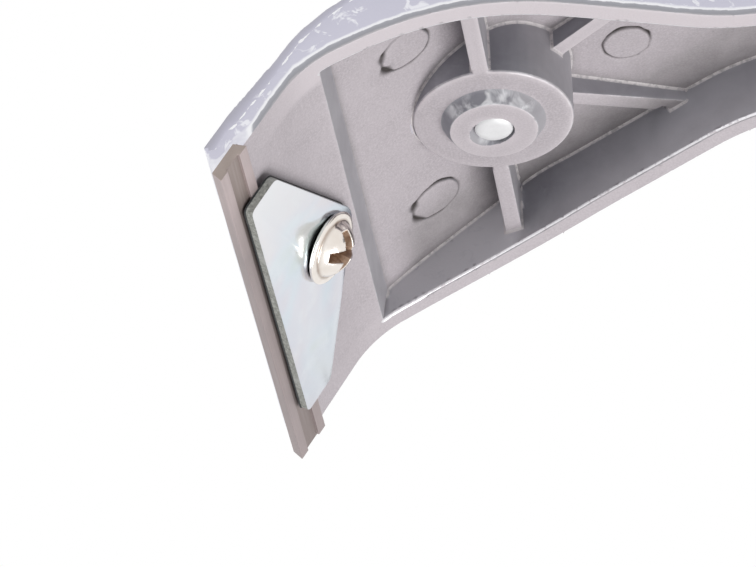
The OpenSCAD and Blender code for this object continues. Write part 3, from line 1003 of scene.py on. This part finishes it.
def clamp_plate(zinc, sheared):
    """The clamp plate with round corners, an eased upper rim and a burr below."""
    bm = node_copy("clamp_plate")
    out = clamp_frame().col[2].to_3d()

    def upright(edge):
        return abs((edge.verts[0].co - edge.verts[1].co).normalized().dot(out)) > 0.95

    rounded(bm, [e for e in sharp_edges(bm, 0.4) if upright(e)], PLATE_CORNER, 5)
    low = min(v.co.dot(out) for v in bm.verts)
    rims = [e for e in sharp_edges(bm, 1.0) if e.verts[0].co.dot(out) > low + PLATE_MIDDLE]
    rounded(bm, rims, PLATE_ROUND, 2)
    plate_burr(bm, out, low)
    obj = make_object("clamp_plate_zinc", bm)
    return finished(obj, "clamp", "clamp_plate", [zinc, sheared], sharp=30)


# Screw, stud, knob and washer, drawn in millimetres

M5_RADIUS = 2.5
PITCH = 0.8
# Centre height and radius of the screw's dome
DOME_FOOT = -1.03
DOME_RADIUS = 4.33
# Crease between the dome and the washer face with the width of its painted shade, and the part of the head
# that holds the recess
CREASE_RADIUS = 3.92 * MM
CREASE_HEIGHT = 0.85 * MM
CREASE_WIDTH = 0.4 * MM
RECESS_REACH = 3.7 * MM
# Half length, half width and height of a bar of the cross recess at its top and at its floor
RECESS_TOP = (5.6, 0.95, 3.4)
RECESS_FLOOR = (1.0, 0.45, 0.9)
RECESS_TURNS = (-35, 55)
# Round of the recess's lips, how near the dome they lie, and the depth where the recess's shade begins
LIP_ROUND = 0.14 * MM
LIP_SLACK = 0.03 * MM
SHADE_DEPTH = 0.16 * MM
# Lowest and highest point of the stud, from the boss
STUD_LOW = -1.66
STUD_HIGH = 32.2


def thread_rings(depth, start, end):
    """Points of a threaded length from start to end."""
    points = []
    for i in range(round((end - start) / PITCH)):
        foot = start + i * PITCH
        points += [(M5_RADIUS - depth, foot), (M5_RADIUS - depth, foot + 0.15 * PITCH),
                   (M5_RADIUS, foot + 0.5 * PITCH), (M5_RADIUS, foot + 0.65 * PITCH)]
    return points


def recess_bar(turn):
    """One tapered bar of the cross recess, in the screw's own frame."""
    bm = bmesh.new()
    bmesh.ops.create_cube(bm, size=1.0)
    for v in bm.verts:
        half_long, half_wide, height = RECESS_TOP if v.co.z > 0 else RECESS_FLOOR
        v.co.x *= 2 * half_long * MM
        v.co.y *= 2 * half_wide * MM
        v.co.z = height * MM
    bmesh.ops.rotate(bm, verts=bm.verts, cent=(0, 0, 0), matrix=Matrix.Rotation(math.radians(turn), 3, "Z"))
    return make_object("recess_bar", bm)


def screw_profile():
    shank = [(0.0, -8.0), (1.9, -8.0), (2.1, -7.75)] + thread_rings(0.42, -7.7, -0.5)
    shank += [(2.3, -0.4), (2.3, 0.0)]
    washer_face = [(4.3, 0.0), (4.75, 0.13), (4.95, 0.3), (5.0, 0.45), (4.98, 0.62), (4.86, 0.74),
                   (4.66, 0.8)]
    foot = [(4.3, 0.83), (4.08, 0.84), (3.95, 0.86)]
    dome = arc_points((0, DOME_FOOT), DOME_RADIUS, 27, 90, 20)
    dome[-1] = (0.0, DOME_FOOT + DOME_RADIUS)
    return shank + washer_face + foot + dome


def depth_in_head(point):
    """How deep a point lies under the dome, where the recess is."""
    if point.z <= CREASE_HEIGHT or point.to_2d().length >= RECESS_REACH:
        return -1.0
    return DOME_RADIUS * MM - (point - Vector((0, 0, DOME_FOOT)) * MM).length


def clamp_screw(finish, recess):
    """The clamp screw with its thread, washer face, dome and cross recess."""
    obj = make_object("clamp_screw_nickel", turned(screw_profile(), 96))
    cut_with(obj, *(recess_bar(turn) for turn in RECESS_TURNS))
    with reshaped(obj) as bm:
        lips = [e for e in sharp_edges(bm, 0.5)
                if all(abs(depth_in_head(v.co)) < LIP_SLACK for v in e.verts)]
        rounded(bm, lips, LIP_ROUND, 3)
        for face in bm.faces:
            face.material_index = 1 if depth_in_head(face.calc_center_median()) > SHADE_DEPTH else 0
        # Painted shade in the crease round the dome
        crease = bm.verts.layers.float.new("crease")
        for v in bm.verts:
            off = math.hypot(v.co.to_2d().length - CREASE_RADIUS, v.co.z - CREASE_HEIGHT)
            v[crease] = max(0.0, 1 - off / CREASE_WIDTH)
    obj.data.transform(clamp_frame())
    return finished(obj, "screw", "clamp_screw", [finish, recess], sharp=35)


def knob_stud(finish):
    """The threaded stud that holds the knob, with its crowned end in the boss."""
    profile = [(0.0, STUD_LOW + 0.02), (1.2, STUD_LOW), (2.15, STUD_LOW + 0.03)]
    profile += [(M5_RADIUS, STUD_LOW + 0.32)] + thread_rings(0.3, STUD_LOW + 0.6, 30.0)
    profile += [(M5_RADIUS, STUD_HIGH - 0.4), (2.1, STUD_HIGH), (0.0, STUD_HIGH)]
    obj = turned_object("stud", profile, 48, on_knob_axis(BOSS.z))
    return finished(obj, "handle", "knob_stud", [finish])


def knob(finish):
    """The ball knob: a rounded base, a waist, the ball and a flat crown."""
    base = [(0.0, 0.0), (9.6, 0.0)] + arc_points((10.2, 0.8), 0.8, -90, 0, 5)
    base += arc_points((9.8, 2.2), 1.2, 0, 70, 6)
    waist = arc_points((12.2, 6.9), 3.7, 235, 170, 10)
    ball = arc_points((0, 21.5), 18, -58, 50, 40)
    crown = arc_points((10.1, 33.0), 3.0, 48, 90, 8) + [(0.0, 36.0)]
    obj = turned_object("ball_knob", base + waist + ball + crown, 96, on_knob_axis(KNOB_BASE_Z))
    return finished(obj, "handle", "knob", [finish], sharp=50)


def knob_washer(finish):
    """The washer under the knob."""
    ring = [(2.75, 0.1), (2.85, 0.0), (9.8, 0.0), (10.0, 0.2), (10.0, 1.0), (9.8, 1.2),
            (2.85, 1.2), (2.75, 1.1), (2.75, 0.1)]
    obj = turned_object("washer", ring, 72, on_knob_axis(KNOB_SEAT_Z))
    return finished(obj, "handle", "knob_washer", [finish])


# Soft grip

GRIP_STEPS = 200
GRIP_WIDTH = 28.0 * MM
GRIP_CORNER = 8.0 * MM
GRIP_END_ROUND = 5 * MM
GRIP_MIDDLE_R = (GRIP_IN_R + GRIP_OUT_R) / 2
GRIP_HALF_HIGH = (GRIP_OUT_R - GRIP_IN_R) / 2
GRIP_LENGTH = TAIL_ANGLE * GRIP_MIDDLE_R
# Moulded grooves across the grip: start, stop before the tail, pitch, depth and form
GROOVES_START = 16 * MM
GROOVES_STOP = 30 * MM
GROOVES_PITCH = 5.2 * MM
GROOVES_DEPTH = 0.55 * MM
GROOVES_NARROW = 2.2
GROOVES_FULL = 0.7


def grip_section(bm):
    """The grip's rounded section as a ring of edges at the crown of the arch."""
    corners = []
    for side_y, side_z, start in ((1, 1, 0), (-1, 1, 90), (-1, -1, 180), (1, -1, 270)):
        centre = (side_y * (GRIP_WIDTH / 2 - GRIP_CORNER), side_z * (GRIP_HALF_HIGH - GRIP_CORNER))
        corners += arc_points(centre, GRIP_CORNER, start, start + 90, 12)
    middle = ARCH_CENTRE + Vector((0, 0, GRIP_MIDDLE_R))
    ring = [bm.verts.new(middle + Vector((0, y, z))) for y, z in corners]
    return ring, [bm.edges.new((a, b)) for a, b in zip(ring, ring[1:] + ring[:1])]


def grip_inset(run):
    """How far the grip's surface is drawn in at a length along it, for its rounded ends and its grooves."""
    inset = 0.0
    for end in (run, GRIP_LENGTH - run):
        if end < GRIP_END_ROUND:
            rise = math.sqrt(max(0.0, GRIP_END_ROUND ** 2 - (GRIP_END_ROUND - end) ** 2))
            inset = max(inset, GRIP_END_ROUND - rise)
    if GROOVES_START < run < GRIP_LENGTH - GROOVES_STOP:
        wave = (run - GROOVES_START) / GROOVES_PITCH
        off = abs(wave - round(wave)) * 2
        inset += GROOVES_DEPTH * max(0.0, 1 - off * GROOVES_NARROW) ** GROOVES_FULL
    return inset


def shape_grip(v):
    """Moves a point of the plain grip inwards."""
    away = v.co - ARCH_CENTRE
    radius = Vector((away.x, away.z)).length
    turn = math.atan2(away.x, away.z)
    inset = grip_inset(turn * GRIP_MIDDLE_R)
    new_y = away.y * (1 - inset / (GRIP_WIDTH / 2))
    new_r = GRIP_MIDDLE_R + (radius - GRIP_MIDDLE_R) * (1 - inset / GRIP_HALF_HIGH)
    v.co = ARCH_CENTRE + Vector((math.sin(turn) * new_r, new_y, math.cos(turn) * new_r))


def hang_cutter():
    """A flared pin that opens the hanging hole."""
    flare = [(0.0, -16.0), (7.0, -16.0), (7.0, -14.0)] + arc_points((6.0, -12.0), 2.0, -90, -180, 6)
    flare += arc_points((6.0, 12.0), 2.0, 180, 90, 6) + [(7.0, 14.0), (7.0, 16.0), (0.0, 16.0)]
    place = Matrix.Translation(HANG_HOLE) @ Matrix.Rotation(math.pi / 2, 4, "X")
    return turned_object("hang_cutter", flare, 48, place)


def grip(finish):
    """The soft grip, swept along the arch."""
    bm = bmesh.new()
    ring, edges = grip_section(bm)
    swept = bmesh.ops.spin(bm, geom=ring + edges, cent=ARCH_CENTRE, axis=(0, 1, 0), angle=TAIL_ANGLE,
                           steps=GRIP_STEPS)
    last = [e for e in swept["geom_last"] if isinstance(e, bmesh.types.BMEdge)]
    for v in bm.verts:
        shape_grip(v)
    for end in (edges, last):
        bmesh.ops.contextual_create(bm, geom=end)
    bmesh.ops.recalc_face_normals(bm, faces=bm.faces)
    obj = make_object("soft_grip", bm)
    cut_with(obj, hang_cutter())
    return finished(obj, "handle", "grip_sleeve", [finish], sharp=50)


# Stage, light and camera

FLOOR_SIZE = 1.6
WHITE = rgb(1, 1, 1)
LIT_SPOT = (-0.08, 0, 0.02)
# The photograph's width and the focal length, both in pixels, and the sensor in millimetres
PHOTO_WIDTH = 756
FOCAL_LENGTH = 5120.998
SENSOR = 36.0


def mix_shader(f, factor, first, second):
    return f.node("ShaderNodeMixShader", values={0: factor, 1: first, 2: second})


def floor():
    """A pale floor that fades to white with distance, open to the view from below."""
    bm = bmesh.new()
    bmesh.ops.create_grid(bm, x_segments=8, y_segments=8, size=FLOOR_SIZE)
    obj = make_object("floor", bm)
    f, place = new_finish("pale_floor")
    away = f.node("ShaderNodeVectorMath", {"operation": "LENGTH"}, {0: place}, out="Value")
    lit = f.node("ShaderNodeBsdfDiffuse", values={"Color": rgb(0.86, 0.86, 0.87)})
    white = f.node("ShaderNodeEmission", values={"Color": WHITE, "Strength": 1.0})
    clear = f.node("ShaderNodeBsdfTransparent", values={"Color": WHITE})
    top = mix_shader(f, f.span(away, 0.2, 0.55, 0.5, 1.0), lit, white)
    below = f.node("ShaderNodeNewGeometry", out="Backfacing")
    f.node("ShaderNodeOutputMaterial", values={"Surface": mix_shader(f, below, top, clear)})
    obj.data.materials.append(f.owner)
    for ray in ("shadow", "diffuse", "glossy", "transmission"):
        setattr(obj, "visible_" + ray, False)


def studio_world():
    """White to look at and to mirror, a plain level of light on the object."""
    f = Finish(bpy.data.worlds.new("studio"))
    scene.world = f.owner
    rays = ("Is Camera Ray", "Is Glossy Ray", "Is Transmission Ray")
    to_eye, mirrored, through = (f.node("ShaderNodeLightPath", out=ray) for ray in rays)
    fill = f.node("ShaderNodeBackground", values={"Color": rgb(0.97, 0.98, 1.0), "Strength": 0.36})
    white = f.node("ShaderNodeBackground", values={"Color": WHITE, "Strength": 1.0})
    shown = mix_shader(f, to_eye + mirrored + through, fill, white)
    f.node("ShaderNodeOutputWorld", values={"Surface": shown})


def softbox(name, place, size, watts):
    """A square soft lamp that faces the head."""
    lamp = bpy.data.lights.new(name, "AREA")
    lamp.shape = "RECTANGLE"
    lamp.size, lamp.size_y = size, size
    lamp.energy = watts
    obj = bpy.data.objects.new(name, lamp)
    obj.location = place
    obj.rotation_euler = (Vector(LIT_SPOT) - Vector(place)).to_track_quat("-Z", "Y").to_euler()
    scene.collection.objects.link(obj)


def camera():
    """The photograph's view, from below and from one side."""
    right = Vector((0.9892466, 0.1433060, -0.0292319))
    down = Vector((-0.1054089, 0.5600196, -0.8217463))
    forward = Vector((-0.1013907, 0.8159911, 0.5691032))
    view = bpy.data.cameras.new("camera")
    view.sensor_fit = "HORIZONTAL"
    view.sensor_width = SENSOR
    view.lens = SENSOR * FOCAL_LENGTH / PHOTO_WIDTH
    view.clip_start = 0.01
    view.clip_end = 20.0
    obj = bpy.data.objects.new("camera", view)
    place = Matrix((right, -down, -forward)).transposed().to_4x4()
    place.translation = BOSS + Vector((50.3998, -533.5321, -395.8577)) * MM
    obj.matrix_world = place
    scene.collection.objects.link(obj)
    scene.camera = obj


def build():
    camera()
    studio_world()
    floor()
    softbox("main", (0.41, 0.06, -0.79), 0.7, 5.6)
    softbox("side", (-0.55, -0.85, -0.12), 0.6, 2.3)
    zinc = zinc_finish()
    casting(cast_alloy_finish())
    blade(blade_steel_finish())
    clamp_plate(zinc, sheared_finish())
    clamp_screw(nickel_finish(), recess_finish())
    knob_stud(stud_finish())
    knob(knob_finish())
    knob_washer(zinc)
    grip(rubber_finish())


build()
scene.view_settings.view_transform = "Standard"
bpy.context.view_layer.update()
